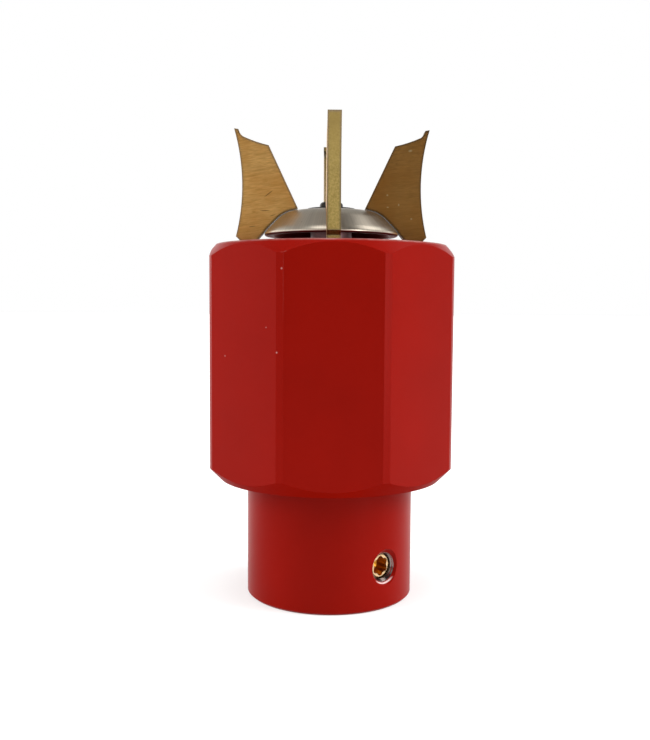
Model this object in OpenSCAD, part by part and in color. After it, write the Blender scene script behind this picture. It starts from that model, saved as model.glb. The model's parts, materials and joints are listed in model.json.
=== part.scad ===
// Holder for a watch case while it is polished.
// Four brass jaws swing in the slots of a carrier let into an octagonal body.
// A central screw lifts a grooved collar, whose groove moves the feet of the jaws,
// and a steel dome rides on the collar to keep polishing dust out of the slots.
// The round shank below takes the arbor of a handle or stand, held by a set screw.

/* [Body] */
// Width across the flats of the octagon
body_af = 49.5; // [48:0.5:58]
// Height of the octagonal body
body_h = 49; // [44:1:70]
// How much the sharp corners are turned down
corner_trim = 0.3; // [0.1:0.1:0.8]
// Distance from the flats to the top rim
top_inset = 0.5; // [0.3:0.1:1.2]
// Slope of the top chamfer below the level
top_chamfer_angle = 50; // [35:1:60]
// Distance from the flats to the bottom rim
bottom_inset = 1.3; // [0.5:0.1:2.5]
// Slope of the bottom chamfer above the level
bottom_chamfer_angle = 45; // [30:1:55]

/* [Shank] */
// Diameter of the round shank
shank_d = 35.2; // [34:0.2:40]
// Height of the round shank
shank_h = 25; // [24:0.5:40]
// Chamfer round the foot of the shank
shank_edge = 0.4; // [0.2:0.1:1]
// Diameter of the spigot that centres the shank in the body
spigot_d = 20; // [16:0.5:22]
// Height of that spigot
spigot_h = 4; // [2:0.5:6]
// Diameter of the socket for the arbor
arbor_d = 16; // [10:0.5:17]
// Depth of the socket for the arbor
arbor_depth = 20; // [16:0.5:22]
// Chamfer at the mouth of that socket
arbor_lead = 0.6; // [0.3:0.1:1]

/* [Set screw] */
// Thread diameter of the set screw
set_screw_d = 5; // [4.6:0.1:5.6]
// Length of the set screw
set_screw_l = 7.5; // [6:0.5:8]
// Height of the set screw above the base
set_screw_z = 8.6; // [6:0.1:12]
// Bearing of the set screw, turned from the front towards the right
set_screw_bearing = 39.5; // [33:0.5:55]
// Distance from the tip of the set screw to the arbor socket
set_screw_gap = 0.5; // [0.2:0.1:1]
// Diameter of the chamfered mouth of its hole
set_screw_mouth_d = 6.9; // [6.3:0.1:7.5]
// Width across the lobes of its key socket
set_screw_key_d = 4.1; // [3:0.1:4.1]
// Depth of that key socket
set_screw_key_depth = 3; // [1.5:0.5:4]

/* [Jaws] */
// Thickness of a jaw plate
jaw_t = 2.7; // [2:0.1:3.2]
// Radius from the axis to the outer tip of a jaw
jaw_tip_r = 20.4; // [19.5:0.1:21.5]
// Height of the tip above the body
jaw_tip_h = 24.1; // [22:0.1:30]
// Width of the lip at the tip
jaw_lip_w = 0.9; // [0.5:0.1:1.4]
// Height of the lip above the seat
jaw_lip_h = 1.6; // [1:0.1:2.5]
// Width of the slope from the lip down to the seat
jaw_lip_slope = 0.9; // [0.6:0.1:1.4]
// Hollow of the long outer edge
jaw_hollow = 1.5; // [0.6:0.1:2]
// Radius to the inner end of the sloping seat
jaw_seat_r = 13.2; // [11.5:0.1:14.5]
// Fall of the seat from the lip to its inner end
jaw_seat_fall = 1.8; // [1:0.1:3]
// Hollow of the seat and of the slope below the lip
jaw_seat_hollow = 0.15; // [0.05:0.05:0.3]
// Radius to the inner lower corner of a jaw
jaw_nose_r = 7.1; // [6.8:0.1:8]
// Height of that corner above the body
jaw_nose_h = 7.8; // [7.7:0.1:9]
// Radius to the lower outer corner of a jaw
jaw_heel_r = 20.05; // [19.5:0.05:20.8]
// Height of that corner above the body
jaw_heel_h = 1.8; // [1.6:0.1:3.5]
// Chamfer below that corner
jaw_heel_chamfer = 0.85; // [0.6:0.05:1.2]
// Width of the neck that enters the carrier
jaw_neck_w = 3.8; // [3:0.1:4.2]

/* [Jaw levers] */
// Radius from the axis to the pivot pins
pivot_r = 17.3; // [17:0.1:17.6]
// Depth of the pivot pins below the top of the body
pivot_depth = 6; // [5.5:0.1:6.5]
// Diameter of a pivot pin
pin_d = 2.5; // [2:0.1:3]
// Length of a pivot pin
pin_l = 24; // [18:0.5:26]
// Radius of the boss round the pivot
boss_r = 2.9; // [2.4:0.1:3]
// Length of the lever from pivot to foot
lever_l = 11.5; // [11:0.1:11.8]
// Radius of the round foot
foot_r = 1.4; // [1.2:0.05:1.5]
// Half thickness of the lever behind the foot
lever_half_t = 0.8; // [0.6:0.05:0.9]

/* [Carrier] */
// Diameter of the carrier
carrier_d = 44; // [43.6:0.1:44.6]
// Height of the carrier
carrier_h = 19; // [18.5:0.5:22]
// Radius at which the jaw slots end
slot_end_r = 20.6; // [20.4:0.1:20.8]
// Depth of the jaw slots
slot_depth = 10.4; // [10:0.1:11]
// Depth of the guide bore
guide_bore_depth = 13.2; // [13:0.1:14]
// Depth of the recess below the carrier for the flange of the feed nut
nut_recess = 2; // [1.6:0.1:2.4]

/* [Lifting collar] */
// Diameter of the collar flanges
collar_d = 18; // [17:0.1:18.6]
// Diameter of the bottom of the groove
groove_d = 8.4; // [7.6:0.1:8.6]
// Thickness of the upper flange
upper_flange_t = 2; // [1.5:0.1:2.2]
// Thickness of the lower flange
lower_flange_t = 2.2; // [1.5:0.1:2.4]
// Diameter of the collar neck below the dome
collar_neck_d = 10; // [9:0.1:12]
// Height of the seat of the dome above the body
dome_seat_h = 1; // [0.4:0.1:1.4]
// Diameter of the guide pins
guide_pin_d = 2; // [1.5:0.1:2.2]
// Radius from the axis to the guide pins
guide_pin_r = 6.8; // [6.7:0.1:7]

/* [Dome] */
// Diameter of the dome
dome_d = 28; // [26:0.1:28.4]
// Height of the dome rim above the body
dome_rim_h = 2.5; // [2.4:0.05:2.9]
// Rise from that rim to the flat in the middle of the dome
dome_rise = 5; // [4.6:0.1:5.2]
// Slope of the dome at its rim
dome_rim_slope = 62; // [58:0.5:66]
// Height over which that slope eases into the flank
dome_rim_rise = 1; // [0.6:0.1:1.2]
// Slope of the flank
dome_flank = 45.5; // [44:0.5:47]
// Radius of the shoulder between the flank and the top
dome_shoulder_r = 6; // [5:0.1:6.5]
// Slope of the dome beside the flat
dome_top_slope = 6.5; // [5:0.5:8]
// Thickness of the rim edge
dome_edge_t = 0.3; // [0.2:0.05:0.6]
// Width of the lip under the rim
dome_lip_w = 1.8; // [1.4:0.1:2.4]
// Height of the hollow of the dome above its rim
dome_hollow_h = 1.6; // [1:0.1:1.8]
// Diameter of the hub below the dome
dome_hub_d = 10.6; // [10.4:0.1:13]
// Diameter of the thin washer on the dome
washer_d = 10.3; // [9:0.1:11]
// Thickness of that washer
washer_t = 0.25; // [0.2:0.05:0.5]

/* [Adjusting screw] */
// Diameter of the screw stem
stem_d = 4; // [3.6:0.1:4.2]
// Diameter of the round screw head
head_d = 4.9; // [4.8:0.1:5.6]
// Height of the round screw head
head_h = 1.4; // [1.2:0.1:1.8]
// Width across flats of the key socket
key_af = 2.5; // [2:0.1:2.6]
// Depth of the key socket
key_depth = 1.2; // [0.8:0.1:1.2]
// Length of thread below the clip
thread_l = 12; // [11:0.5:14]

/* [Clearances] */
// Radial clearance of pins, stem and collar where they run
run_gap = 0.05; // [0.02:0.01:0.08]
// Radial clearance of parts that are fitted and stay
fit_gap = 0.03; // [0.01:0.01:0.05]
// Clearance beside a jaw in its slot
side_gap = 0.1; // [0.05:0.05:0.2]
// Clearance of the foot in the groove
foot_gap = 0.05; // [0.03:0.01:0.1]
// Clearance between jaws and dome
dome_gap = 0.25; // [0.2:0.05:0.5]

/* [Hidden] */
$fn = 96;
// Overlap that lets one cut run clear of the face it opens
cut = 1;

// Body and shank
top_z = shank_h + body_h;
corner_r = body_af / 2 / cos(22.5) - corner_trim;
top_rim_r = body_af / 2 - top_inset;
bottom_rim_r = body_af / 2 - bottom_inset;
top_drop = (corner_r - top_rim_r) * tan(top_chamfer_angle);
bottom_drop = (corner_r - bottom_rim_r) * tan(bottom_chamfer_angle);
carrier_r = carrier_d / 2;
carrier_floor_z = top_z - carrier_h;

// Bearings of the four jaws and of the screws between them, anticlockwise from the right
jaw_bearings = [270, 0, 90, 180];
screw_bearings = [45, 135, 225, 315];
shank_screw_bearings = [0, 90, 180, 270];

// Screws that hold the carrier, M3 countersunk
carrier_screw_d = 3;
carrier_screw_head_d = 5.6;
carrier_screw_head_h = 1.7;
carrier_screw_r = 17.8;
carrier_screw_grip = 6;
// Screws that hold the shank, M3 cap head
shank_screw_d = 3;
shank_screw_head_d = 5.5;
shank_screw_head_h = 3;
shank_screw_r = (arbor_d + shank_d) / 4;
shank_screw_well = 14;
shank_screw_grip = 7;
// Screws that hold the feed nut, M2 countersunk
nut_screw_d = 2;
nut_screw_head_d = 3.8;
nut_screw_head_h = 1.1;
nut_screw_r = 6.4;
nut_screw_l = 4;
nut_screw_bearings = [135, 315];
// Key sockets of the small screws, as shares of the width and height of their heads
screw_key_share = 0.45;
countersunk_key_share = 0.75;
// Chamfer at the end of a threaded stem
stem_end = 0.4;
// Straight rim of a countersunk head and the room round it in its seat
head_rim_h = 0.2;
seat_gap = 0.15;
// How far the heads lie below the face around them
head_sink = 0.1;

// Fall of the top of a jaw's lip towards the axis
jaw_lip_fall = 0.15;

// Levels measured from the top face of the body
pivot_z = top_z - pivot_depth;
groove_half = foot_r + foot_gap;
collar_top_z = pivot_z + groove_half + upper_flange_t;
collar_bottom_z = pivot_z - groove_half - lower_flange_t;
dome_seat_z = top_z + dome_seat_h;
collar_spigot_d = collar_neck_d * 0.62;
collar_spigot_h = 1.6;
dome_rim_z = top_z + dome_rim_h;
dome_r = dome_d / 2;
flat_r = washer_d / 2 + 0.1;
dome_flat_z = dome_rim_z + dome_rise;
// Arc beside the rim, and the radii at which the straight flank of the dome starts and ends
rim_arc_r = dome_rim_rise / (cos(dome_flank) - cos(dome_rim_slope));
rim_centre = [dome_r - rim_arc_r * sin(dome_rim_slope), dome_rim_h - rim_arc_r * cos(dome_rim_slope)];
flank_start_r = rim_centre[0] + rim_arc_r * sin(dome_flank);
flank_end_r = (dome_rim_rise + flank_start_r * tan(dome_flank) - flat_r * tan(dome_top_slope) - dome_rise
    + dome_shoulder_r * (cos(dome_top_slope) - cos(dome_flank))
    - dome_shoulder_r * (sin(dome_flank) - sin(dome_top_slope)) * tan(dome_top_slope))
    / (tan(dome_flank) - tan(dome_top_slope));
shoulder_centre = [
    flank_end_r - dome_shoulder_r * sin(dome_flank),
    dome_rim_h + dome_rim_rise + (flank_start_r - flank_end_r) * tan(dome_flank)
        - dome_shoulder_r * cos(dome_flank)
];
thrust_washer_d = 9;
thrust_washer_t = 0.5;
clip_d = 7.6;
clip_t = 0.6;
clip_groove_d = stem_d - 0.8;
clip_top_z = collar_bottom_z - thrust_washer_t;
guide_floor_z = top_z - guide_bore_depth;
nut_flange_d = 17;
nut_body_d = 8;
guide_pin_foot_z = guide_floor_z - 3.2;
guide_pin_top_z = pivot_z + 0.6;
guide_pin_bearings = [45, 225];
screw_well_depth = 9;
screw_well_d = 9;

// Points on an arc from a to b, bowed by the given sagitta to the left of the way from a to b
function arc(a, b, sag, n) =
    let (
        chord = norm(b - a),
        radius = (chord * chord / 4 + sag * sag) / (2 * abs(sag)),
        half = asin(chord / 2 / radius),
        along = (b - a) / chord,
        left = [-along[1], along[0]] * sign(sag),
        centre = (a + b) / 2 + left * (abs(sag) - radius)
    )
    [for (i = [0:n])
        let (turn = -half + 2 * half * i / n)
        centre + along * radius * sin(turn) + left * radius * cos(turn)];

// Points on an arc of the dome's outline whose slope goes from one angle to another
function slope_arc(centre, radius, from, to, n) =
    [for (i = [0:n])
        let (slope = from + (to - from) * i / n)
        centre + radius * [sin(slope), cos(slope)]];

// Points from the rim of the dome up its flank and over its shoulder, moved outwards by gap
function dome_side(gap, n) = concat(
    slope_arc(rim_centre, rim_arc_r + gap, dome_rim_slope, dome_flank, n / 4),
    slope_arc(shoulder_centre, dome_shoulder_r + gap, dome_flank, dome_top_slope, n));

module at_bearings(bearings, radius) {
    for (bearing = bearings)
        rotate([0, 0, bearing]) translate([radius, 0, 0]) children();
}

// A ring or disc from z = 0 to h with both outer edges chamfered
module turned_disc(r, h, edge) {
    rotate_extrude()
        polygon([[0, 0], [r - edge, 0], [r, edge], [r, h - edge], [r - edge, h], [0, h]]);
}

// Hexagonal key socket that opens at z = 0 and goes down
module hex_socket(af, depth) {
    translate([0, 0, -depth]) cylinder(d = af / cos(30), h = depth + cut, $fn = 6);
}

// Six-lobe key socket that opens at z = 0 and goes down
module six_lobe_socket(d, depth) {
    lobe_d = d * 0.28;
    translate([0, 0, -depth]) {
        cylinder(d = d * 0.76, h = depth + cut);
        for (lobe = [0:5])
            rotate([0, 0, lobe * 60]) translate([(d - lobe_d) / 2, 0, 0])
                cylinder(d = lobe_d, h = depth + cut, $fn = 32);
    }
}

// Countersunk screw with its head at z = 0 and its stem down
module countersunk_screw(d, head_d, head_h, length) {
    difference() {
        rotate_extrude(convexity = 4)
            polygon([[0, 0], [head_d / 2, 0], [head_d / 2, -head_rim_h], [d / 2, -head_h],
                [d / 2, stem_end - length], [d / 2 - stem_end, -length], [0, -length]]);
        hex_socket(head_d * screw_key_share, head_h * countersunk_key_share);
    }
}

// Seat for a countersunk head at z = 0, with the hole for its stem below
module countersunk_seat(d, head_d, head_h, depth) {
    translate([0, 0, -depth]) cylinder(r = d / 2 + seat_gap, h = depth + cut);
    translate([0, 0, -head_h])
        cylinder(r1 = d / 2 + seat_gap, r2 = head_d / 2 + seat_gap, h = head_h - head_rim_h);
    translate([0, 0, -head_rim_h]) cylinder(r = head_d / 2 + seat_gap, h = head_rim_h + cut);
}

// Cap screw with its stem up from z = 0 and its head below
module cap_screw(d, head_d, head_h, length) {
    edge = 0.3;
    difference() {
        rotate_extrude(convexity = 4)
            polygon([[0, -head_h], [head_d / 2 - edge, -head_h], [head_d / 2, edge - head_h],
                [head_d / 2, 0], [d / 2, 0], [d / 2, length - stem_end], [d / 2 - stem_end, length],
                [0, length]]);
        translate([0, 0, -head_h]) mirror([0, 0, 1]) hex_socket(head_d * screw_key_share, head_h / 2);
    }
}

// Octagonal prism with turned chamfers and corners, and the bores for what it holds
module octagon_body() {
    color([0.66, 0.06, 0.04]) translate([0, 0, shank_h]) difference() {
        intersection() {
            rotate([0, 0, 22.5]) cylinder(r = body_af / 2 / cos(22.5), h = body_h, $fn = 8);
            rotate_extrude($fn = 180)
                polygon([[0, 0], [bottom_rim_r, 0], [corner_r, bottom_drop],
                    [corner_r, body_h - top_drop], [top_rim_r, body_h], [0, body_h]]);
        }
        translate([0, 0, body_h - carrier_h]) cylinder(r = carrier_r + fit_gap, h = carrier_h + cut);
        translate([0, 0, body_h - carrier_h - screw_well_depth])
            cylinder(d = screw_well_d, h = screw_well_depth + cut);
        at_bearings(screw_bearings, carrier_screw_r)
            translate([0, 0, body_h - carrier_h - carrier_screw_grip - 1])
                cylinder(d = carrier_screw_d + 2 * fit_gap, h = carrier_screw_grip + 1 + cut);
        translate([0, 0, -cut]) cylinder(r = spigot_d / 2 + fit_gap, h = spigot_h + 0.2 + cut);
        at_bearings(shank_screw_bearings, shank_screw_r)
            translate([0, 0, -cut])
                cylinder(d = shank_screw_d + 2 * fit_gap, h = shank_screw_grip + 1 + cut);
    }
}

// Round shank with the arbor socket, the tapped side hole and the wells of its screws
module arbor_shank() {
    // Where a flat disc of the mouth's diameter meets the round of the shank
    mouth_z = sqrt(pow(shank_d / 2, 2) - pow(set_screw_mouth_d / 2, 2));
    mouth_cut_h = 6;
    color([0.62, 0.07, 0.05]) difference() {
        union() {
            rotate_extrude($fn = 180)
                polygon([[0, 0], [shank_d / 2 - shank_edge, 0], [shank_d / 2, shank_edge],
                    [shank_d / 2, shank_h], [0, shank_h]]);
            translate([0, 0, shank_h - cut]) cylinder(d = spigot_d, h = spigot_h + cut);
        }
        translate([0, 0, -cut]) cylinder(d = arbor_d, h = arbor_depth + cut);
        translate([0, 0, -cut])
            cylinder(d1 = arbor_d + 2 * (arbor_lead + cut), d2 = arbor_d, h = arbor_lead + cut);
        at_bearings(shank_screw_bearings, shank_screw_r) {
            translate([0, 0, -cut]) cylinder(d = shank_screw_head_d + 0.4, h = shank_screw_well + cut);
            translate([0, 0, -cut]) cylinder(d = shank_screw_d + 0.3, h = shank_h + 2 * cut);
        }
        on_set_screw_axis() {
            cylinder(d = set_screw_d + 2 * run_gap, h = shank_d);
            translate([0, 0, mouth_z - (set_screw_mouth_d - set_screw_d) / 2])
                cylinder(d1 = set_screw_d, d2 = set_screw_d + 2 * mouth_cut_h, h = mouth_cut_h);
        }
    }
}

// The set screw's axis, from the centre line outwards as +Z
module on_set_screw_axis() {
    rotate([0, 0, set_screw_bearing - 90])
        translate([0, 0, set_screw_z])
            rotate([0, 90, 0]) children();
}

module shank_screws() {
    color([0.25, 0.25, 0.27]) at_bearings(shank_screw_bearings, shank_screw_r)
        translate([0, 0, shank_screw_well])
            cap_screw(shank_screw_d, shank_screw_head_d, shank_screw_head_h,
                shank_h - shank_screw_well + shank_screw_grip);
}

module set_screw() {
    tip = 0.6;
    color([0.85, 0.62, 0.2]) on_set_screw_axis()
        translate([0, 0, arbor_d / 2 + set_screw_gap]) difference() {
            rotate_extrude()
                polygon([[0, 0], [set_screw_d / 2 - tip, 0], [set_screw_d / 2, tip],
                    [set_screw_d / 2, set_screw_l - tip / 2],
                    [set_screw_d / 2 - tip / 2, set_screw_l], [0, set_screw_l]]);
            translate([0, 0, set_screw_l]) six_lobe_socket(set_screw_key_d, set_screw_key_depth);
        }
}

// Sheet of jaw thickness that stands on the middle plane of a jaw
module plate() {
    rotate([90, 0, 0]) linear_extrude(jaw_t, center = true) children();
}

// Blade of a jaw and its neck, radius along x and height above the body along y
module jaw_blade() {
    tip = [jaw_tip_r, jaw_tip_h];
    heel = [jaw_heel_r, jaw_heel_h];
    lip = [jaw_tip_r - jaw_lip_w, jaw_tip_h - jaw_lip_fall];
    lip_foot = [lip[0] - jaw_lip_slope, jaw_tip_h - jaw_lip_h];
    seat_end = [jaw_seat_r, lip_foot[1] - jaw_seat_fall];
    neck_out = jaw_heel_r - jaw_heel_chamfer;
    neck_in = neck_out - jaw_neck_w;
    polygon(concat(
        arc(tip, heel, -jaw_hollow, 16),
        [[neck_out, jaw_heel_h - jaw_heel_chamfer], [neck_out, -pivot_depth], [neck_in, -pivot_depth],
            [neck_in, dome_rim_h / 2]],
        dome_side(dome_gap, 12),
        [[jaw_nose_r, jaw_nose_h]],
        arc(seat_end, lip_foot, -jaw_seat_hollow, 4),
        arc(lip_foot, lip, -jaw_seat_hollow, 4)
    ));
}

// Tapered lever from the boss in to the foot
module jaw_lever() {
    root = [pivot_r - boss_r * 0.6, -pivot_depth];
    end = [pivot_r - lever_l, -pivot_depth];
    middle = [collar_d / 2 + 0.3, -pivot_depth];
    root_half = [0, boss_r * 0.8];
    end_half = [0, lever_half_t];
    polygon([root + root_half, root - root_half, middle - end_half, end - end_half,
        end + end_half, middle + end_half]);
}

module jaw(bearing) {
    color([0.72, 0.55, 0.3]) rotate([0, 0, bearing]) translate([0, 0, top_z]) difference() {
        union() {
            plate() jaw_blade();
            plate() jaw_lever();
            plate() translate([pivot_r, -pivot_depth]) circle(r = boss_r, $fn = 64);
            plate() translate([pivot_r - lever_l, -pivot_depth]) circle(r = foot_r, $fn = 48);
        }
        translate([pivot_r, jaw_t, -pivot_depth])
            rotate([90, 0, 0]) cylinder(r = pin_d / 2 + run_gap, h = 2 * jaw_t);
    }
}

module jaw_front() {
    jaw(jaw_bearings[0]);
}

module jaw_right() {
    jaw(jaw_bearings[1]);
}

module jaw_rear() {
    jaw(jaw_bearings[2]);
}

module jaw_left() {
    jaw(jaw_bearings[3]);
}

module pivot_pin(bearing) {
    color([0.7, 0.7, 0.72]) rotate([0, 0, bearing]) translate([pivot_r, pin_l / 2, pivot_z])
        rotate([90, 0, 0]) turned_disc(pin_d / 2, pin_l, 0.25);
}

module pivot_pin_front() {
    pivot_pin(jaw_bearings[0]);
}

module pivot_pin_right() {
    pivot_pin(jaw_bearings[1]);
}

module pivot_pin_rear() {
    pivot_pin(jaw_bearings[2]);
}

module pivot_pin_left() {
    pivot_pin(jaw_bearings[3]);
}

// Disc in the top of the body, slotted for the jaws and bored for the collar and the pins
module jaw_carrier() {
    slot_w = jaw_t + 2 * side_gap;
    bore_r = collar_d / 2 + run_gap;
    web = carrier_h - guide_bore_depth;
    color([0.66, 0.08, 0.06]) translate([0, 0, carrier_floor_z]) difference() {
        turned_disc(carrier_r, carrier_h, 0.3);
        translate([0, 0, web]) cylinder(r = bore_r, h = carrier_h);
        for (bearing = jaw_bearings)
            rotate([0, 0, bearing]) {
                translate([0, -slot_w / 2, carrier_h - slot_depth])
                    cube([slot_end_r, slot_w, slot_depth + cut]);
                translate([pivot_r, carrier_r, carrier_h - pivot_depth])
                    rotate([90, 0, 0]) cylinder(d = pin_d + 2 * fit_gap, h = carrier_d);
            }
        at_bearings(screw_bearings, carrier_screw_r)
            translate([0, 0, carrier_h - head_sink])
                countersunk_seat(carrier_screw_d, carrier_screw_head_d, carrier_screw_head_h,
                    carrier_h + cut);
        translate([0, 0, -cut]) cylinder(d = nut_flange_d + 0.2, h = nut_recess + cut);
        translate([0, 0, -cut]) cylinder(d = nut_body_d + 2 * fit_gap, h = carrier_h);
        at_bearings(guide_pin_bearings, guide_pin_r)
            translate([0, 0, guide_pin_foot_z - carrier_floor_z])
                cylinder(d = guide_pin_d + 2 * fit_gap, h = carrier_h);
        at_bearings(nut_screw_bearings, nut_screw_r)
            cylinder(d = nut_screw_d + 2 * fit_gap, h = nut_screw_l + 0.5);
    }
}

module carrier_screws() {
    color([0.3, 0.3, 0.32]) at_bearings(screw_bearings, carrier_screw_r)
        translate([0, 0, top_z - head_sink])
            countersunk_screw(carrier_screw_d, carrier_screw_head_d, carrier_screw_head_h,
                carrier_h + carrier_screw_grip - head_sink);
}

// Flanged nut let into the carrier from below
module feed_nut() {
    web = carrier_h - guide_bore_depth;
    color([0.78, 0.6, 0.3]) translate([0, 0, carrier_floor_z]) difference() {
        rotate_extrude()
            polygon([[0, 0], [nut_flange_d / 2, 0], [nut_flange_d / 2, nut_recess],
                [nut_body_d / 2, nut_recess], [nut_body_d / 2, web - 0.3],
                [nut_body_d / 2 - 0.3, web], [0, web]]);
        translate([0, 0, -cut]) cylinder(d = stem_d + 2 * run_gap, h = web + 2 * cut);
        at_bearings(nut_screw_bearings, nut_screw_r)
            translate([0, 0, head_sink]) mirror([0, 0, 1])
                countersunk_seat(nut_screw_d, nut_screw_head_d, nut_screw_head_h, nut_recess + cut);
    }
}

module nut_screws() {
    color([0.3, 0.3, 0.32]) at_bearings(nut_screw_bearings, nut_screw_r)
        translate([0, 0, carrier_floor_z + head_sink]) mirror([0, 0, 1])
            countersunk_screw(nut_screw_d, nut_screw_head_d, nut_screw_head_h, nut_screw_l);
}

module guide_pins() {
    color([0.7, 0.7, 0.72]) at_bearings(guide_pin_bearings, guide_pin_r)
        translate([0, 0, guide_pin_foot_z])
            turned_disc(guide_pin_d / 2, guide_pin_top_z - guide_pin_foot_z, 0.2);
}

// Spool that slides in the carrier, its groove round the feet of the jaws
module lifting_collar() {
    r = collar_d / 2;
    edge = 0.2;
    color([0.62, 0.62, 0.64]) difference() {
        rotate_extrude(convexity = 6)
            polygon([[0, collar_bottom_z], [r - edge, collar_bottom_z], [r, collar_bottom_z + edge],
                [r, pivot_z - groove_half], [groove_d / 2, pivot_z - groove_half],
                [groove_d / 2, pivot_z + groove_half], [r, pivot_z + groove_half],
                [r, collar_top_z - edge], [r - edge, collar_top_z], [collar_neck_d / 2, collar_top_z],
                [collar_neck_d / 2, dome_seat_z], [collar_spigot_d / 2, dome_seat_z],
                [collar_spigot_d / 2, dome_seat_z + collar_spigot_h],
                [0, dome_seat_z + collar_spigot_h]]);
        translate([0, 0, collar_bottom_z - cut])
            cylinder(d = stem_d + 2 * run_gap, h = body_h);
        at_bearings(guide_pin_bearings, guide_pin_r)
            translate([0, 0, collar_bottom_z - cut])
                cylinder(d = guide_pin_d + 2 * run_gap, h = lower_flange_t + 2 * cut);
    }
}

// Turned steel dome, hollow below, with a hub that sits on the collar
module dome_cap() {
    edge = 0.25;
    under = dome_rim_h - dome_edge_t - edge;
    lip_r = dome_r - dome_lip_w;
    hollow_z = dome_rim_h + dome_hollow_h;
    hollow_r = lip_r - dome_hollow_h;
    hub_r = dome_hub_d / 2;
    color([0.62, 0.6, 0.56]) translate([0, 0, top_z]) difference() {
        rotate_extrude(convexity = 6)
            polygon(concat(
                [[0, dome_seat_h], [hub_r, dome_seat_h], [hub_r, hollow_z], [hollow_r, hollow_z],
                    [lip_r, under + edge], [lip_r, under], [dome_r - edge, under],
                    [dome_r, dome_rim_h - dome_edge_t]],
                dome_side(0, 20),
                [[flat_r, dome_flat_z - top_z], [0, dome_flat_z - top_z]]
            ));
        translate([0, 0, dome_seat_h - cut])
            cylinder(d = collar_spigot_d + 2 * fit_gap, h = collar_spigot_h + 0.1 + cut);
        cylinder(d = stem_d + 2 * run_gap, h = body_h);
    }
}

module dome_washer() {
    color([0.2, 0.19, 0.18]) translate([0, 0, dome_flat_z]) difference() {
        turned_disc(washer_d / 2, washer_t, 0.08);
        translate([0, 0, -cut]) cylinder(d = stem_d + 2 * run_gap, h = washer_t + 2 * cut);
    }
}

// Screw with a round head, a groove for the clip and a thread that runs in the feed nut
module adjusting_screw() {
    head_z = dome_flat_z + washer_t;
    flat = head_d * 0.36;
    color([0.2, 0.18, 0.16]) difference() {
        rotate_extrude(convexity = 4)
            polygon(concat(
                [[0, clip_top_z - clip_t - thread_l],
                    [stem_d / 2 - stem_end, clip_top_z - clip_t - thread_l],
                    [stem_d / 2, clip_top_z - clip_t - thread_l + stem_end],
                    [stem_d / 2, clip_top_z - clip_t], [clip_groove_d / 2, clip_top_z - clip_t],
                    [clip_groove_d / 2, clip_top_z], [stem_d / 2, clip_top_z], [stem_d / 2, head_z],
                    [head_d / 2, head_z]],
                arc([head_d / 2, head_z + head_h * 0.35], [flat, head_z + head_h], -0.25, 6),
                [[0, head_z + head_h]]
            ));
        translate([0, 0, head_z + head_h]) hex_socket(key_af, key_depth);
    }
}

module thrust_washer() {
    color([0.75, 0.58, 0.3]) translate([0, 0, clip_top_z]) difference() {
        turned_disc(thrust_washer_d / 2, thrust_washer_t, 0.1);
        translate([0, 0, -cut]) cylinder(d = stem_d + 2 * run_gap, h = thrust_washer_t + 2 * cut);
    }
}

// Clip open at one side, with three lugs that reach into the groove of the screw
module retaining_clip() {
    lug_r = clip_groove_d / 2 + fit_gap;
    relief_r = 0.75;
    relief_bearings = [50, 130, 230, 310];
    mouth_w = lug_r * 1.7;
    color([0.35, 0.35, 0.37]) translate([0, 0, clip_top_z - clip_t]) linear_extrude(clip_t) difference() {
        circle(d = clip_d);
        circle(r = lug_r);
        for (side = relief_bearings)
            rotate([0, 0, side]) translate([lug_r, 0]) circle(r = relief_r, $fn = 24);
        translate([0, -mouth_w / 2]) square([clip_d, mouth_w]);
    }
}

octagon_body();
arbor_shank();
shank_screws();
set_screw();
jaw_carrier();
carrier_screws();
feed_nut();
nut_screws();
guide_pins();
jaw_front();
jaw_right();
jaw_rear();
jaw_left();
pivot_pin_front();
pivot_pin_right();
pivot_pin_rear();
pivot_pin_left();
lifting_collar();
dome_cap();
dome_washer();
adjusting_screw();
thrust_washer();
retaining_clip();
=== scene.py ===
"""Looks of a watch polishing holder: red anodised octagon with a round shank, brass jaws and a steel dome."""
import json
import math

import bmesh
import bpy
from mathutils import Matrix, Vector


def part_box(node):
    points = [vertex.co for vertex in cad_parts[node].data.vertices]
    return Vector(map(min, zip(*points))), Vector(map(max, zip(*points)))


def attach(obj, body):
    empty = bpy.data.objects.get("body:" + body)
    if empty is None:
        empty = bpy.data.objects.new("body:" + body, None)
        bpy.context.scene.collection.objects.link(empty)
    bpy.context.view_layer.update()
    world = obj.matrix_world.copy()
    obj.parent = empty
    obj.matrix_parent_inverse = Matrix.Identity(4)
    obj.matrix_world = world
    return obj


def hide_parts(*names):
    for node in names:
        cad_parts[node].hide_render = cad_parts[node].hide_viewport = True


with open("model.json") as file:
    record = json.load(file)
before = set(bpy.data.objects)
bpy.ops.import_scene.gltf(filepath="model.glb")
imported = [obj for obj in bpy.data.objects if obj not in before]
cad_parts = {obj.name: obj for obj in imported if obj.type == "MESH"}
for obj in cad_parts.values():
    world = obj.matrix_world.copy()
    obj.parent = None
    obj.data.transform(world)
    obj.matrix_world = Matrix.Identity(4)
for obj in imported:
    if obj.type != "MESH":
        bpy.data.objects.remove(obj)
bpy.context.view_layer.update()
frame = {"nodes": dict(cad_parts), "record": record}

MM = 0.001
NODES = frame["nodes"]
JOINTS = {joint["name"]: joint for joint in frame["record"]["behaviour"]["joints"]}
BODY_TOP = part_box("octagon_body")[1].z / MM
JAW_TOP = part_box("jaw_front")[1].z / MM
# The dome is a hair larger than its solid, in millimetres
DOME_MARGIN = 0.08
DOME_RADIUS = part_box("dome_cap")[1].x / MM + DOME_MARGIN
THREAD_PITCH = 0.8

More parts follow.
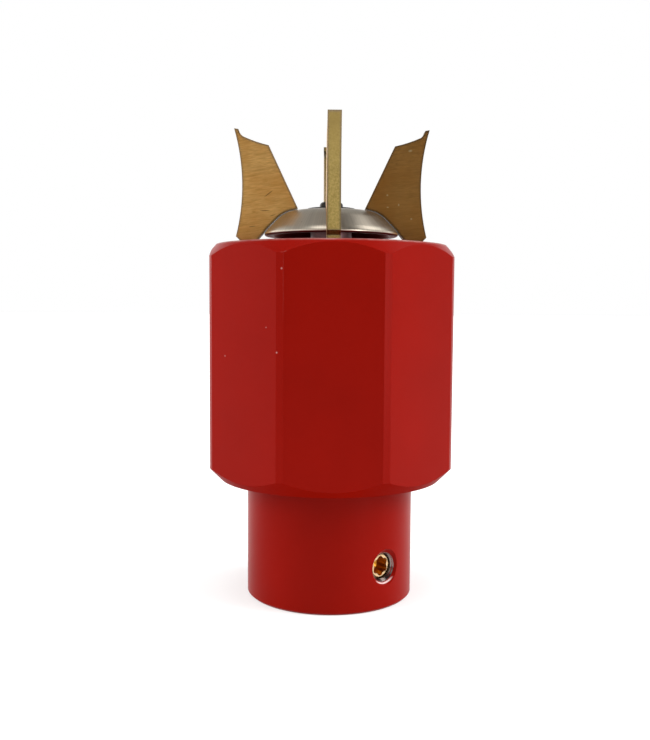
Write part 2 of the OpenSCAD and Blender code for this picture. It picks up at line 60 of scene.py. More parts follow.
# Camera, fitted to the edges of the octagon and the shank
CAMERA_DISTANCE = 190.1 * MM
CAMERA_HEIGHT = 62.3 * MM
CAMERA_BEARING = math.radians(1.47)
CAMERA_PAN = math.radians(-0.34)
CAMERA_TILT = math.radians(4.41)
CAMERA_ROLL = math.radians(0.37)
FOCAL_PIXELS = 889.6
IMAGE_HEIGHT = 740

# Brightness of the world as from, to, start and end: along the view, to the left, to the right and upwards;
# the backdrop behind the part is brighter than the rest and ends at some height
WORLD_DEPTH = (-0.2, 0.6, 0.05, 0.38)
WORLD_LEFT = (-0.05, -0.95, 0.0, 1.2)
WORLD_RIGHT = (0.3, 0.95, 0.0, 0.6)
WORLD_HEIGHT = (0.15, 0.8, 1.0, 0.3)
BACKDROP_DEPTH = (0.3, 0.9, 0.0, 0.8)
BACKDROP_HEIGHT = (0.3, 0.5, 1.0, 0.0)

# Each light's bearing, height and spread in degrees, its strength, and if metal mirrors it
LIGHTS = {
    "left": (-83, 28, 40, 2.7, False),
    "right": (83, 30, 40, 3.7, False),
    "above": (-26, 63, 30, 0.5, True),
    "above_right": (100, 49, 30, 0.45, True),
    "front": (0, 27, 30, 0.16, True),
    "top": (0, 82, 40, 1.1, False),
}
# A low light box: its bearing in degrees, distance and size in metres, and its power
BOX_BEARING = 45
BOX_DISTANCE = 0.7
BOX_SIZE = (0.12, 0.14)
BOX_POWER = 0.85
TABLE_GLOW = 0.45
TABLE_DARK = (0.47, 0.47, 0.465)
TABLE_LIGHT = (0.51, 0.51, 0.505)

# Red finish, its wear and the highlights painted on it
RED = (0.192, 0.0029, 0.0006)
# Pale red for the edges: partly wear, partly painted highlight
EDGE_WEAR_AND_HIGHLIGHT = (0.60, 0.36, 0.33)
# Pale for the nicks, and for the worn edge with a painted glint below the set screw's hole
PALE_WEAR_AND_GLINT = (0.80, 0.62, 0.60)
# Pale grey painted round the top rim as a highlight
RIM_HIGHLIGHT = (0.30, 0.17, 0.155)
RIM_RADIUS = 24.25
# Middle of a pale line painted as a highlight down the edge of the left land, in millimetres
EDGE_HIGHLIGHT_LINE = (-9.3, -24.5, 66.5)
RED_METALLIC = 0.05
RED_SHEEN = 0.05
RED_SPECULAR = 0.04
# Place, radius in millimetres and strength of each nick
NICKS = (
    ((-9.68, -24.4, 68.35), 0.34, 0.7),
    ((-10.65, -24.25, 52.72), 0.22, 0.3),
    ((-21.23, -13.77, 51.39), 0.22, 0.2),
    ((-12.73, -22.27, 57.35), 0.18, 0.18),
)

# Brass of the jaws: light and dark streaks of each pair of faces, then the cut edges
BRASS_BRIGHT = ((0.80, 0.47, 0.16), (0.54, 0.295, 0.085))
# A darker copy of the same brass, for the right jaw
BRASS_DARKER = ((0.31, 0.155, 0.043), (0.235, 0.115, 0.03))
# Painted shade: the same brass darkened for the rear jaw, seen only as a strip behind the front jaw
BRASS_PAINTED_SHADE = ((0.45, 0.27, 0.10), (0.36, 0.21, 0.07))
CUT_DARK = (0.47, 0.335, 0.10)
CUT_LIGHT = (0.64, 0.47, 0.16)
# Darker tint for the upper part of the cut edges
DARK_UPPER_EDGE = (0.235, 0.165, 0.053)
# Painted shade in the gap between the jaws and the dome
GAP_SHADE = (0.05, 0.03, 0.012)
SCRATCH = (0.10, 0.05, 0.02)
SPECK = (0.42, 0.30, 0.15)
# Place, half length, half width, slope in degrees and colour of each mark on a jaw
LEFT_MARKS = (
    ((-13.2, -1.35, 84.7), 1.3, 0.13, 38, SCRATCH),
    ((-14.0, -1.35, 81.2), 1.2, 0.12, 2, SCRATCH),
    ((-12.4, -1.35, 80.2), 0.8, 0.1, 15, SCRATCH),
    ((-16.6, -1.35, 77.9), 0.9, 0.1, 8, SCRATCH),
)
RIGHT_MARKS = (
    ((16.4, -1.35, 93.8), 0.5, 0.28, 10, SPECK),
    ((11.7, -1.35, 84.6), 0.25, 0.22, 0, SPECK),
    ((14.1, -1.35, 82.6), 0.2, 0.3, 0, SPECK),
    ((11.8, -1.35, 82.1), 0.28, 0.16, 0, SPECK),
    ((16.8, -1.35, 79.7), 0.26, 0.22, 0, SPECK),
)

# Other metals
SATIN_STEEL = (0.58, 0.515, 0.42)
STAIN = (0.12, 0.10, 0.08)
GROUND_STEEL = (0.36, 0.35, 0.35)
BLACK_STEEL = (0.045, 0.042, 0.04)
# Steel of the dome's underside and hub, darkened as painted shade and tinted red as a painted reflection of
# the body
UNDERSIDE_SHADE_RED = (0.22, 0.13, 0.13)
TURNED_BRASS = (0.72, 0.52, 0.25)
GOLD = (0.80, 0.55, 0.30)
# The screw's gold darkened as painted shade inside its socket
SOCKET_SHADE_GOLD = (0.60, 0.27, 0.035)
# Bare aluminium darkened as painted shade inside the set screw's hole
SHADED_BARE_ALUMINIUM = (0.24, 0.19, 0.175)
# Distance in millimetres from the axis of the holder to the mouth of the set screw's hole
MOUTH_RADIUS = 17.2

# Outline of the dome in millimetres above the body, and the slopes of its flanks in degrees
DOME_RIM_HEIGHT = 2.5
DOME_RISE = 5.0
DOME_FLAT = 5.25
DOME_SHOULDER = 6.0
DOME_RIM_RISE = 1.0
RIM_SLOPE = 62
FLANK_SLOPE = 45.5
TOP_SLOPE = 6.5


def shade(colour, *factors):
    """A colour with each channel scaled; one factor scales all three."""
    return tuple(channel * factor for channel, factor in zip(colour, factors * (3 // len(factors))))


def make_camera():
    """Stands a little to the left of the front, level with the upper part of the body."""
    data = bpy.data.cameras.new("camera")
    data.lens = data.sensor_width * FOCAL_PIXELS / IMAGE_HEIGHT
    data.clip_start = 0.01
    camera = bpy.data.objects.new("camera", data)
    bpy.context.collection.objects.link(camera)
    heading = CAMERA_BEARING + CAMERA_PAN
    forward = Vector((
        math.sin(heading) * math.cos(CAMERA_TILT),
        math.cos(heading) * math.cos(CAMERA_TILT),
        -math.sin(CAMERA_TILT),
    ))
    level = forward.cross(Vector((0, 0, 1))).normalized()
    rise = level.cross(forward)
    right = level * math.cos(CAMERA_ROLL) + rise * math.sin(CAMERA_ROLL)
    up = rise * math.cos(CAMERA_ROLL) - level * math.sin(CAMERA_ROLL)
    turn = Matrix((right, up, -forward)).transposed().to_4x4()
    place = Vector((
        -CAMERA_DISTANCE * math.sin(CAMERA_BEARING),
        -CAMERA_DISTANCE * math.cos(CAMERA_BEARING),
        CAMERA_HEIGHT,
    ))
    camera.matrix_world = Matrix.Translation(place) @ turn
    bpy.context.scene.camera = camera


class Shader:
    """A material's node tree, with short calls for the nodes that the finishes share."""

    def __init__(self, name, **sockets):
        self.material = bpy.data.materials.new(name)
        self.material.use_nodes = True
        self.tree = self.material.node_tree
        self.bsdf = self.tree.nodes["Principled BSDF"]
        for socket, value in sockets.items():
            self.bsdf.inputs[socket.replace("_", " ").title().replace("Ior", "IOR")].default_value = value
        self.coords = self.tree.nodes.new("ShaderNodeTexCoord")

    def link(self, output, target):
        """Joins two sockets."""
        self.tree.links.new(output, target)

    def noise_at(self, place, scale, detail, distortion=0.0):
        """Noise at a place that a vector socket gives."""
        noise = self.tree.nodes.new("ShaderNodeTexNoise")
        noise.inputs["Scale"].default_value = scale
        noise.inputs["Detail"].default_value = detail
        noise.inputs["Distortion"].default_value = distortion
        self.link(place, noise.inputs["Vector"])
        return noise.outputs["Fac"]

    def noise(self, scale, stretch=(1, 1, 1), detail=2.0, turn=(0, 0, 0), distortion=0.0):
        """Noise in object space, in cycles per metre; stretch multiplies them along each turned axis."""
        mapping = self.tree.nodes.new("ShaderNodeMapping")
        mapping.vector_type = "TEXTURE"
        mapping.inputs["Rotation"].default_value = turn
        mapping.inputs["Scale"].default_value = tuple(1 / part for part in stretch)
        self.link(self.coords.outputs["Object"], mapping.inputs["Vector"])
        return self.noise_at(mapping.outputs["Vector"], scale, detail, distortion)

    def ramp(self, source, low, high, start, end):
        """Maps source from low..high to start..end."""
        node = self.tree.nodes.new("ShaderNodeMapRange")
        node.inputs["From Min"].default_value = low
        node.inputs["From Max"].default_value = high
        node.inputs["To Min"].default_value = start
        node.inputs["To Max"].default_value = end
        self.link(source, node.inputs["Value"])
        return node.outputs["Result"]

    def mix(self, amount, first, second):
        """Mixes two colours, each a colour or a socket."""
        node = self.tree.nodes.new("ShaderNodeMix")
        node.data_type = "RGBA"
        self.link(amount, node.inputs["Factor"])
        sockets = [socket for socket in node.inputs if socket.type == "RGBA"]
        for value, socket in zip((first, second), sockets):
            if isinstance(value, tuple):
                socket.default_value = (*value, 1)
            else:
                self.link(value, socket)
        return next(socket for socket in node.outputs if socket.type == "RGBA")

    def math(self, operation, first, second=None):
        """Result of a sum on sockets; the second may be a number, or left out."""
        node = self.tree.nodes.new("ShaderNodeMath")
        node.operation = operation
        self.link(first, node.inputs[0])
        if isinstance(second, float):
            node.inputs[1].default_value = second
        elif second is not None:
            self.link(second, node.inputs[1])
        return node.outputs[0]

    def bump(self, height, strength, distance):
        """Lays a bump, with its depth in millimetres, over those laid before."""
        node = self.tree.nodes.new("ShaderNodeBump")
        node.inputs["Strength"].default_value = strength
        node.inputs["Distance"].default_value = distance * MM
        self.link(height, node.inputs["Height"])
        last = self.bsdf.inputs["Normal"]
        if last.is_linked:
            self.link(last.links[0].from_socket, node.inputs["Normal"])
        self.link(node.outputs["Normal"], last)

    def edge_mask(self, radius, start=0.995, full=0.9):
        """One near sharp edges and zero on flats, within a radius in millimetres.
        Start and full are cosines of the turn of the surface."""
        bevel = self.tree.nodes.new("ShaderNodeBevel")
        bevel.samples = 6
        bevel.inputs["Radius"].default_value = radius * MM
        geometry = self.tree.nodes.new("ShaderNodeNewGeometry")
        dot = self.tree.nodes.new("ShaderNodeVectorMath")
        dot.operation = "DOT_PRODUCT"
        self.link(bevel.outputs["Normal"], dot.inputs[0])
        self.link(geometry.outputs["Normal"], dot.inputs[1])
        return self.ramp(dot.outputs["Value"], start, full, 0.0, 1.0)

    def part(self, axis, of="Object"):
        """One coordinate of the place on the object, or of its normal."""
        split = self.tree.nodes.new("ShaderNodeSeparateXYZ")
        self.link(self.coords.outputs[of], split.inputs[0])
        return split.outputs[axis]

    def vector(self, **parts):
        """A vector from sockets for some of its coordinates."""
        node = self.tree.nodes.new("ShaderNodeCombineXYZ")
        for axis, output in parts.items():
            self.link(output, node.inputs[axis.upper()])
        return node.outputs["Vector"]

    def height_band(self, low, high, start, end):
        """Maps heights in millimetres from low..high to start..end."""
        return self.ramp(self.part("Z"), low * MM, high * MM, start, end)

    def radius_band(self, low, high, start, end):
        """Maps distances from the axis, in millimetres, from low..high to start..end."""
        return self.ramp(self.radius(), low * MM, high * MM, start, end)

    def radius(self):
        """Distance from the axis of the holder."""
        square_x = self.math("MULTIPLY", self.part("X"), self.part("X"))
        square_y = self.math("MULTIPLY", self.part("Y"), self.part("Y"))
        return self.math("SQRT", self.math("ADD", square_x, square_y))

    def distance(self, point):
        """Distance from a point in metres."""
        node = self.tree.nodes.new("ShaderNodeVectorMath")
        node.operation = "DISTANCE"
        self.link(self.coords.outputs["Object"], node.inputs[0])
        node.inputs[1].default_value = point
        return node.outputs["Value"]

    def reach(self, place, length, width, slope):
        """One at the rim of a long narrow mark on a plate that faces front, and less inside it.
        Place, half length and half width are in millimetres, and slope is in degrees."""
        node = self.tree.nodes.new("ShaderNodeMapping")
        node.vector_type = "TEXTURE"
        node.inputs["Location"].default_value = tuple(part * MM for part in place)
        node.inputs["Rotation"].default_value = (0, -math.radians(slope), 0)
        node.inputs["Scale"].default_value = (length * MM, 1 * MM, width * MM)
        self.link(self.coords.outputs["Object"], node.inputs["Vector"])
        size = self.tree.nodes.new("ShaderNodeVectorMath")
        size.operation = "LENGTH"
        self.link(node.outputs["Vector"], size.inputs[0])
        return size.outputs["Value"]

    def colour(self, output):
        """Takes the base colour from a socket."""
        self.link(output, self.bsdf.inputs["Base Color"])

    def roughness(self, output):
        """Takes the roughness from a socket."""
        self.link(output, self.bsdf.inputs["Roughness"])


def red_anodised(name):
    """Satin anodised aluminium: dyed layer over metal, fine blasted grain and faint turning marks.
    Gives the shader and its colour, for wear and painted highlights to be laid over it."""
    shader = Shader(name, metallic=RED_METALLIC, sheen_weight=RED_SHEEN, sheen_roughness=0.3,
                    specular_ior_level=RED_SPECULAR)
    cloud = shader.noise(60)
    surface = shader.mix(shader.ramp(cloud, 0.3, 0.7, 0, 1), shade(RED, 0.94), shade(RED, 1.05))
    grain = shader.noise(9000)
    shader.roughness(shader.ramp(grain, 0.3, 0.7, 0.31, 0.38))
    shader.bump(grain, 0.10, 0.02)
    lines = shader.noise(120, stretch=(1, 1, 40), detail=3)
    shader.bump(lines, 0.05, 0.03)
    return shader, surface


def red_body():
    """Finish of the octagon: a patchy pale line painted round its top rim as a highlight, edges lighter in
    places from wear and painted highlight, a few nicks, and duller on its lower chamfer."""
    shader, surface = red_anodised("red_body")
    # Painted highlight: a patchy pale grey line round the top rim
    rim = shader.math("MULTIPLY",
                      shader.height_band(BODY_TOP - 0.4, BODY_TOP - 0.12, 0, 1),
                      shader.radius_band(RIM_RADIUS - 0.3, RIM_RADIUS - 0.05, 0, 1))
    patchy = shader.ramp(shader.noise(400, detail=3), 0.35, 0.65, 0.25, 0.75)
    surface = shader.mix(shader.math("MULTIPLY", rim, patchy), surface, RIM_HIGHLIGHT)
    for place, size, strength in NICKS:
        nick = shader.distance(Vector(place) * MM)
        surface = shader.mix(shader.ramp(nick, 0.06 * MM, size * MM, strength, 0), surface, PALE_WEAR_AND_GLINT)
    # Lighter edges: a painted highlight line down the edge of the left land, and patchy wear that is partly
    # painted highlight
    wear_and_highlight = shader.math("ADD", shader.ramp(shader.reach(EDGE_HIGHLIGHT_LINE, 0.9, 9, 0), 0.5, 1, 0.5, 0),
                       shader.ramp(shader.noise(70, detail=3), 0.5, 0.7, 0, 0.04))
    edge = shader.math("MULTIPLY", shader.edge_mask(0.2), wear_and_highlight)
    shader.colour(shader.mix(edge, surface, EDGE_WEAR_AND_HIGHLIGHT))
    facing_up = shader.part("Z", "Normal")
    for socket, level in (("Metallic", RED_METALLIC), ("Sheen Weight", RED_SHEEN),
                          ("Specular IOR Level", RED_SPECULAR)):
        gloss = shader.ramp(facing_up, -0.5, -0.3, 0.1 * level, level)
        shader.link(gloss, shader.bsdf.inputs[socket])
    return shader.material


def red_shank(mouth):
    """Finish of the shank: on the lower side of the set screw's hole its edge is worn, with a painted glint.
    """
    shader, surface = red_anodised("red_shank")
    reach = shader.distance(mouth)
    # Pale line on the lower edge of the hole's mouth: wear with a painted glint
    edge = shader.math("MULTIPLY",
                       shader.ramp(reach, 3.15 * MM, 3.25 * MM, 0, 1),
                       shader.ramp(reach, 3.38 * MM, 3.48 * MM, 1, 0))
    lower = shader.height_band(mouth.z / MM - 2.3, mouth.z / MM - 3.0, 0, 0.75)
    shader.colour(shader.mix(shader.math("MULTIPLY", edge, lower), surface, PALE_WEAR_AND_GLINT))
    return shader.material


def red_plain():
    """Finish of the jaw carrier, which is turned and anodised with the body; its edges are lighter in
    patches, partly wear and partly painted highlight.
    """
    shader, surface = red_anodised("red_anodised")
    # Lighter edges in patches: partly wear, partly painted highlight
    wear_and_highlight = shader.ramp(shader.noise(90, detail=3), 0.45, 0.7, 0, 0.4)
    edge = shader.math("MULTIPLY", shader.edge_mask(0.2), wear_and_highlight)
    shader.colour(shader.mix(edge, surface, EDGE_WEAR_AND_HIGHLIGHT))
    return shader.material


def jaw_brass(name, across, tints, slant, seed, marks=()):
    """Brass sheet: wavy brushed faces with a few marks, speckled cut edges that are darker towards the top,
    and painted shade along the rims and where the jaw stands beside the dome.
    Across is the axis that the faces look along, and slant turns their streaks, in radians."""
    light, dark = tints
    shader = Shader(name, metallic=1.0)
    shift = seed * 7.3
    turn = (slant, 0, 0) if across == "X" else (0, slant, 0)
    streaks = shader.noise(150 + shift, stretch=(2, 2, 20), turn=turn, detail=6, distortion=1.2)
    fine = shader.noise(420 + shift, stretch=(1.5, 1.5, 12), turn=turn, detail=4, distortion=1)
    speckle = shader.noise(2600 + shift, detail=3)
    faces = shader.mix(shader.ramp(streaks, 0.3, 0.7, 0, 1), dark, light)
    faces = shader.mix(shader.ramp(fine, 0.35, 0.7, 0.25, 0), faces, shade(dark, 0.6))
    patch = shader.ramp(shader.noise(130 + shift, detail=3), 0.4, 0.7, 0.0, 0.5)
    faces = shader.mix(patch, faces, shade(dark, 1, 0.8, 0.55))
    for place, length, width, slope, colour in marks:
        reach = shader.reach(place, length, width, slope)
        faces = shader.mix(shader.ramp(reach, 0.5, 1, 0.75, 0), faces, colour)
    edges = shader.mix(shader.ramp(speckle, 0.35, 0.65, 0, 1), CUT_DARK, CUT_LIGHT)
    # Cut edges darker towards the top of the jaw
    upper_edges = shader.height_band(JAW_TOP - 14, JAW_TOP - 2, 0, 0.9)
    edges = shader.mix(upper_edges, edges, DARK_UPPER_EDGE)
    side = shader.math("ABSOLUTE", shader.part(across, "Normal"))
    surface = shader.mix(shader.ramp(side, 0.5, 0.8, 0, 1), edges, faces)
    # Painted shade: a dark line along the rims of the jaw
    rim = shader.math("MULTIPLY", shader.edge_mask(0.8, 0.9995, 0.95), 0.85)
    surface = shader.mix(rim, surface, shade(light, 0.25, 0.32, 0.6))
    # Painted shade on the rims and cut edges of the jaw beside the dome
    beside_dome = shader.math("MULTIPLY",
                              shader.radius_band(DOME_RADIUS + 0.5, DOME_RADIUS + 1.5, 1, 0),
                              shader.height_band(BODY_TOP + 7, BODY_TOP + 9, 1, 0))
    cut = shader.math("MAXIMUM", rim, shader.ramp(side, 0.5, 0.8, 1, 0))
    shader.colour(shader.mix(shader.math("MULTIPLY", cut, beside_dome), surface, GAP_SHADE))
    shader.roughness(shader.ramp(fine, 0.3, 0.7, 0.34, 0.5))
    shader.bump(fine, 0.18, 0.03)
    shader.bump(speckle, 0.06, 0.02)
    return shader.material


def turned_steel(name, tint, rough):
    """Turned and satined steel: fine rings round the axis, faint streaks down the slope, slight stains."""
    shader = Shader(name, metallic=1.0)
    rings = shader.noise_at(shader.vector(x=shader.radius(), z=shader.part("Z")), 5500, detail=2)
    turn = shader.math("ARCTAN2", shader.part("Y"), shader.part("X"))
    streaks = shader.noise_at(shader.vector(x=turn), 28, detail=5)
    smear = shader.noise(180, detail=3)
    surface = shader.mix(shader.ramp(smear, 0.3, 0.7, 0, 1), shade(tint, 0.78), tint)
    surface = shader.mix(shader.ramp(streaks, 0.3, 0.7, 0, 1), surface, shade(tint, 1.12))
    specks = shader.ramp(shader.noise(900, detail=1), 0.74, 0.8, 0, 0.6)
    shader.colour(shader.mix(specks, surface, STAIN))
    shader.roughness(shader.ramp(rings, 0.3, 0.7, rough, rough + 0.1))
    shader.bump(rings, 0.06, 0.01)
    shader.bump(streaks, 0.25, 0.04)
    return shader.material


def worn_metal(name, tint, rough):
    """Small metal parts: slight blotches in colour and gloss, fine grain."""
    shader = Shader(name, metallic=1.0)
    blotch = shader.noise(600, detail=3)
    shader.colour(shader.mix(shader.ramp(blotch, 0.3, 0.7, 0, 1), shade(tint, 0.75), tint))
    grain = shader.noise(1800)
    shader.roughness(shader.ramp(grain, 0.3, 0.7, rough, rough + 0.1))
    shader.bump(grain, 0.08, 0.01)
    return shader.material


def dress(node, material):
    """Gives a node its finish."""
    part = NODES[node]
    part.data.materials.clear()
    part.data.materials.append(material)


def soften(node, width, angle=28):
    """Welds a node's facets and rounds its sharp edges by a width in millimetres."""
    part = NODES[node]
    weld = part.modifiers.new("weld", "WELD")
    weld.merge_threshold = 0.002 * MM
    bevel = part.modifiers.new("edge", "BEVEL")
    bevel.width = width * MM
    bevel.segments = 2
    bevel.limit_method = "ANGLE"
    bevel.angle_limit = math.radians(angle)
    normals = part.modifiers.new("normals", "WEIGHTED_NORMAL")
    normals.weight = 100


def turned(name, rings, place=Matrix(), segments=192, first_bands=0, closed=False):
    """Mesh turned round Z from rings of (radius, height, lobe, thread, lean) in millimetres.
    Lobe is the depth of six lobes, thread the depth of a screw thread, and lean tips a ring along a cone
    towards X. The last three may be left out. The first bands of faces take the second material."""
    shape = bmesh.new()
    loops = []
    for ring in rings:
        radius, height, lobe, thread, lean = (*ring, 0, 0, 0)[:5]
        loop = []
        for step in range(segments if radius else 1):
            turn = 2 * math.pi * step / segments
            thread_phase = (height / THREAD_PITCH - step / segments) % 1
            shift = lean * math.cos(turn)
            reach = radius + lobe * math.cos(6 * turn) + thread * abs(2 * thread_phase - 1) + shift
            point = Vector((reach * math.cos(turn), reach * math.sin(turn), height + shift)) * MM
            loop.append(shape.verts.new(place @ point))
        loops.append(loop)
    if closed:
        loops.append(loops[0])
    for band, (lower, upper) in enumerate(zip(loops, loops[1:])):
        for step in range(segments):
            after = (step + 1) % segments
            corners = [lower[step % len(lower)], lower[after % len(lower)],
                       upper[after % len(upper)], upper[step % len(upper)]]
            face = shape.faces.new(list(dict.fromkeys(corners)))
            face.smooth = True
            face.material_index = 1 if band < first_bands else 0
    bmesh.ops.recalc_face_normals(shape, faces=shape.faces)
    mesh = bpy.data.meshes.new(name)
    shape.to_mesh(mesh)
    shape.free()
    mesh.set_sharp_from_angle(angle=math.radians(32))
    return mesh


def add_piece(mesh, body, materials, replaces=None):
    """Makes a mesh a piece of the object that rides on a body, in the place of a node if one is named."""
    piece = bpy.data.objects.new(mesh.name, mesh)
    bpy.context.collection.objects.link(piece)
    for material in materials:
        mesh.materials.append(material)
    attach(piece, body)
    if replaces:
        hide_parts(replaces)


def slope_arc(centre, radius, start, end, steps):
    """Points on an arc whose slope goes from start to end, in degrees."""
    points = []
    for step in range(steps + 1):
        slope = math.radians(start + (end - start) * step / steps)
        points.append((centre[0] + radius * math.sin(slope), centre[1] + radius * math.cos(slope)))
    return points


def dome_rings():
    """Outline of the dome from its bore out under the rim, up and back over the top.
    Also gives the number of bands that face down."""
    rim, flank, top = (math.radians(slope) for slope in (RIM_SLOPE, FLANK_SLOPE, TOP_SLOPE))
    rim_arc = DOME_RIM_RISE / (math.cos(flank) - math.cos(rim))
    rim_centre = (DOME_RADIUS - rim_arc * math.sin(rim), DOME_RIM_HEIGHT - rim_arc * math.cos(rim))
    flank_start = rim_centre[0] + rim_arc * math.sin(flank)
    shoulder_rise = DOME_SHOULDER * (math.cos(top) - math.cos(flank))
    shoulder_drop = DOME_SHOULDER * (math.sin(flank) - math.sin(top)) * math.tan(top)
    flank_end = (DOME_RIM_RISE + flank_start * math.tan(flank) - DOME_FLAT * math.tan(top) - DOME_RISE
                 + shoulder_rise - shoulder_drop) / (math.tan(flank) - math.tan(top))
    flank_rise = (flank_start - flank_end) * math.tan(flank)
    shoulder_centre = (
        flank_end - DOME_SHOULDER * math.sin(flank),
        DOME_RIM_HEIGHT + DOME_RIM_RISE + flank_rise - DOME_SHOULDER * math.cos(flank),
    )
    top_height = DOME_RIM_HEIGHT + DOME_RISE
    lip = DOME_RADIUS - 1.8
    hub = [(3.13, 1.0), (4.2, 1.0), (4.35, 1.15), (4.35, 3.8), (4.45, 4.02), (4.65, 4.1)]
    hollow = [(lip - 1.8, 4.1), (lip - 1.5, 4.02), (lip - 0.05, 2.25), (lip, 2.05), (lip + 0.08, 1.97)]
    foot = [(lip + 0.2, 1.95), (DOME_RADIUS - 0.3, 1.95), (DOME_RADIUS - 0.14, 2.02),
            (DOME_RADIUS - 0.04, 2.12), (DOME_RADIUS, 2.25)]
    under = hub + hollow + foot
    side = [(DOME_RADIUS, DOME_RIM_HEIGHT - 0.08)]
    side += slope_arc(rim_centre, rim_arc, RIM_SLOPE, FLANK_SLOPE, 6)
    over = slope_arc(shoulder_centre, DOME_SHOULDER, FLANK_SLOPE, TOP_SLOPE, 24) + [(DOME_FLAT, top_height)]
    bore = [(2.05, top_height), (2.05, 2.7), (3.13, 2.7)]
    return [(r, z + BODY_TOP) for r, z in under + side + over + bore], len(under) - 1


def set_screw_rings():
    """Set screw from its tip out to the face: thread, rounded edge and six-lobe socket with a drilled floor.
    Also gives the number of bands before the socket."""
    rings = [(0, 8.5), (1.75, 8.5), (1.9, 8.54), (2.36, 9.0)]
    rings += [(2.36, 9.1 + 0.1 * step, 0, 0.09) for step in range(63)]
    rings += [(2.43, 15.5), (2.41, 15.75), (2.35, 15.9), (2.27, 15.98), (2.18, 16.0)]
    rings += [(1.92, 16.0, 0.16), (1.86, 15.96, 0.18)]
    socket = [(1.84, 15.85, 0.19), (1.82, 13.4, 0.19), (1.76, 13.2, 0.16), (1.5, 13.1, 0.05), (0.8, 12.8)]
    socket += [(0, 12.6)]
    return rings + socket, len(rings) - 1


def tapped_rings():
    """Bare metal round the set screw: the thread in the hole and the cut part of its mouth, wider below."""
    thread = [(2.475, 13.0 + 0.1 * step, 0, 0.055) for step in range(34)]
    mouth = [(2.53, 16.36), (2.6, 16.46, 0, 0.04), (2.68, 16.54, 0, 0.06), (2.76, 16.62, 0, 0.06, -0.02),
             (2.84, 16.71, 0, 0.04, -0.05), (2.92, 16.77, 0, 0, -0.09), (2.95, 16.79, 0, 0, -0.1),
             (2.97, 16.79, 0, 0, -0.1), (2.96, 16.69, 0, 0, -0.1)]
    back = [(2.7, 16.25), (2.65, 16.15), (2.65, 13.0)]
    return thread + mouth + back


def stage_disc(name, radius, height):
    """A flat round floor."""
    mesh = bpy.data.meshes.new(name)
    shape = bmesh.new()
    bmesh.ops.create_circle(shape, cap_ends=True, segments=96, radius=radius)
    shape.to_mesh(mesh)
    shape.free()
    disc = bpy.data.objects.new(name, mesh)
    disc.location.z = height
    bpy.context.collection.objects.link(disc)
    return disc


def make_world():
    """White to the camera. As light it is dim before the part, brighter behind it and bright at its sides."""
    world = bpy.data.worlds.new("studio")
    world.use_nodes = True
    nodes, links = world.node_tree.nodes, world.node_tree.links
    coords = nodes.new("ShaderNodeTexCoord")
    split = nodes.new("ShaderNodeSeparateXYZ")
    links.new(coords.outputs["Generated"], split.inputs[0])

    def fade(axis, values):
        node = nodes.new("ShaderNodeMapRange")
        node.interpolation_type = "SMOOTHSTEP"
        for name, value in zip(("From Min", "From Max", "To Min", "To Max"), values):
            node.inputs[name].default_value = value
        links.new(split.outputs[axis], node.inputs["Value"])
        return node.outputs["Result"]

    def combine(operation, first, second):
        node = nodes.new("ShaderNodeMath")
        node.operation = operation
        links.new(first, node.inputs[0])
        links.new(second, node.inputs[1])
        return node.outputs[0]

    sides = combine("ADD", fade("X", WORLD_LEFT), fade("X", WORLD_RIGHT))
    backdrop = combine("MULTIPLY", fade("Y", BACKDROP_DEPTH), fade("Z", BACKDROP_HEIGHT))
    room = combine("ADD", fade("Y", WORLD_DEPTH), combine("MULTIPLY", sides, fade("Z", WORLD_HEIGHT)))
    total = combine("ADD", room, backdrop)
    path = nodes.new("ShaderNodeLightPath")
    seen = nodes.new("ShaderNodeMix")
    links.new(path.outputs["Is Camera Ray"], seen.inputs["Factor"])
    links.new(total, seen.inputs["A"])
    seen.inputs["B"].default_value = 1.0
    background = nodes["Background"]
    background.inputs["Color"].default_value = (1, 1, 1, 1)
    links.new(seen.outputs["Result"], background.inputs["Strength"])
    bpy.context.scene.world = world


def sun(name, bearing, height, spread, strength, mirrored):
    """A soft light from far off; bearing 0 is the camera's side and 90 the right, in degrees."""
    data = bpy.data.lights.new(name, "SUN")
    data.energy = strength
    data.angle = math.radians(spread)
    light = bpy.data.objects.new(name, data)
    turn, rise = math.radians(bearing), math.radians(height)
    source = Vector((math.sin(turn) * math.cos(rise), -math.cos(turn) * math.cos(rise), math.sin(rise)))
    light.rotation_euler = source.to_track_quat("Z", "Y").to_euler()
    light.visible_glossy = mirrored
    bpy.context.collection.objects.link(light)


def light_box():
    """A low box of light that stands on the table beside the camera."""
    data = bpy.data.lights.new("light_box", "AREA")
    data.shape = "RECTANGLE"
    data.size, data.size_y = BOX_SIZE
    data.energy = BOX_POWER
    light = bpy.data.objects.new("light_box", data)
    turn = math.radians(BOX_BEARING)
    place = Vector((BOX_DISTANCE * math.sin(turn), -BOX_DISTANCE * math.cos(turn), BOX_SIZE[1] / 2))
    light.location = place
    light.rotation_euler = Vector((place.x, place.y, 0)).to_track_quat("Z", "Y").to_euler()
    bpy.context.collection.objects.link(light)


def make_studio():
    """A pale table that glows a little, pale surroundings and large soft lights."""
    bpy.context.scene.view_settings.view_transform = "Standard"
    make_world()
    floor = stage_disc("floor", 4.0, -0.00005)
    table = Shader("light_table", roughness=0.8, specular_ior_level=0.1, emission_color=(1, 1, 1, 1),
                   emission_strength=TABLE_GLOW)
    table.colour(table.mix(table.noise(40), TABLE_DARK, TABLE_LIGHT))
    floor.data.materials.append(table.material)
    for name, light in LIGHTS.items():
        sun(name, *light)
    light_box()


make_camera()
make_studio()

# Red pieces
clamp_axis = Vector(JOINTS["clamp_screw_feed"]["axis"])
clamp_low, clamp_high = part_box("set_screw")
clamp_height = Vector((0, 0, (clamp_low.z + clamp_high.z) / 2))
dress("octagon_body", red_body())
dress("arbor_shank", red_shank(clamp_height + clamp_axis * MOUTH_RADIUS * MM))
dress("jaw_carrier", red_plain())

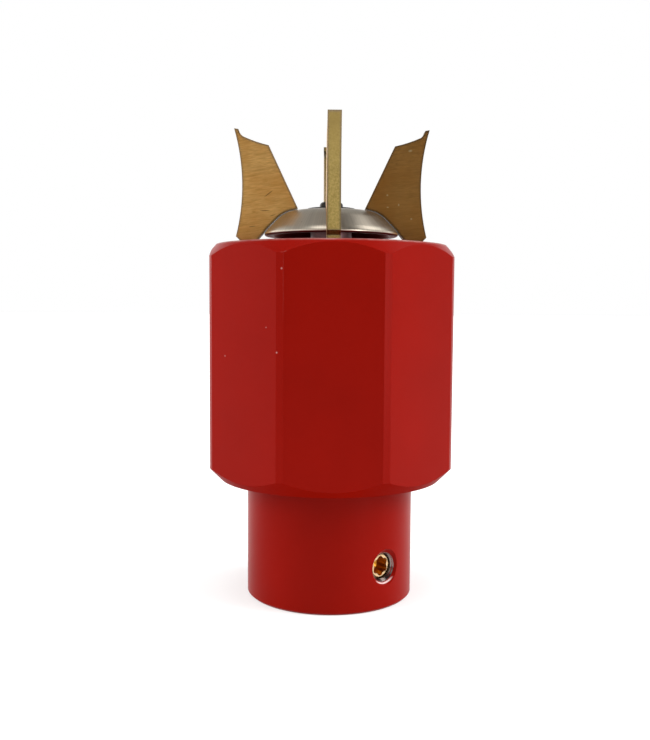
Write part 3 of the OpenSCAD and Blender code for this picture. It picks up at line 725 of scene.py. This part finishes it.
# Jaws
dress("jaw_left", jaw_brass("brass_left", "Y", BRASS_BRIGHT, -0.13, 1, LEFT_MARKS))
dress("jaw_right", jaw_brass("brass_right", "Y", BRASS_DARKER, -0.1, 2, RIGHT_MARKS))
dress("jaw_front", jaw_brass("brass_front", "X", BRASS_BRIGHT, 0.1, 3))
# The rear jaw's brass is darkened as painted shade
dress("jaw_rear", jaw_brass("brass_rear", "X", BRASS_PAINTED_SHADE, -0.1, 4))

# Small metal parts
ground = worn_metal("ground_steel", GROUND_STEEL, 0.25)
for node in ("lifting_collar", "guide_pins", "pivot_pin_front", "pivot_pin_right", "pivot_pin_rear",
             "pivot_pin_left"):
    dress(node, ground)
dark = worn_metal("dark_steel", BLACK_STEEL, 0.35)
for node in ("shank_screws", "carrier_screws", "nut_screws", "adjusting_screw", "retaining_clip",
             "dome_washer"):
    dress(node, dark)
turned_brass = worn_metal("turned_brass", TURNED_BRASS, 0.25)
for node in ("feed_nut", "thrust_washer"):
    dress(node, turned_brass)

# Broken edges
soften("octagon_body", 0.25, 20)
soften("adjusting_screw", 0.15, 50)
for node in ("jaw_front", "jaw_right", "jaw_rear", "jaw_left"):
    soften(node, 0.05)

# Dome
dome, under_bands = dome_rings()
satin_steel = turned_steel("satin_steel", SATIN_STEEL, 0.28)
# Painted shade and a painted red reflection on the dome's underside and hub
dark_turned = worn_metal("underside_painted_shade_steel", UNDERSIDE_SHADE_RED, 0.3)
add_piece(turned("dome", dome, first_bands=under_bands, closed=True), "lifter",
          [satin_steel, dark_turned], "dome_cap")

# Set screw and the bare metal of its hole
clamp_place = Matrix.Translation(clamp_height) @ clamp_axis.to_track_quat("Z", "X").to_matrix().to_4x4()
gold = worn_metal("gold_screw", GOLD, 0.22)
# Painted shade: the socket of the set screw takes a darker copy of its gold
gold_in_socket_shade = worn_metal("gold_in_socket_shade", SOCKET_SHADE_GOLD, 0.3)
clamping_screw, outer_bands = set_screw_rings()
add_piece(turned("clamping_screw", clamping_screw, clamp_place, 144, outer_bands), "clamp_screw",
          [gold_in_socket_shade, gold], "set_screw")
# Painted shade: the bare metal in the hole is much darker than bare aluminium
bare = worn_metal("bare_aluminium_painted_shade", SHADED_BARE_ALUMINIUM, 0.16)
add_piece(turned("tapped_hole", tapped_rings(), clamp_place, 144, closed=True), "root",
          [bare])
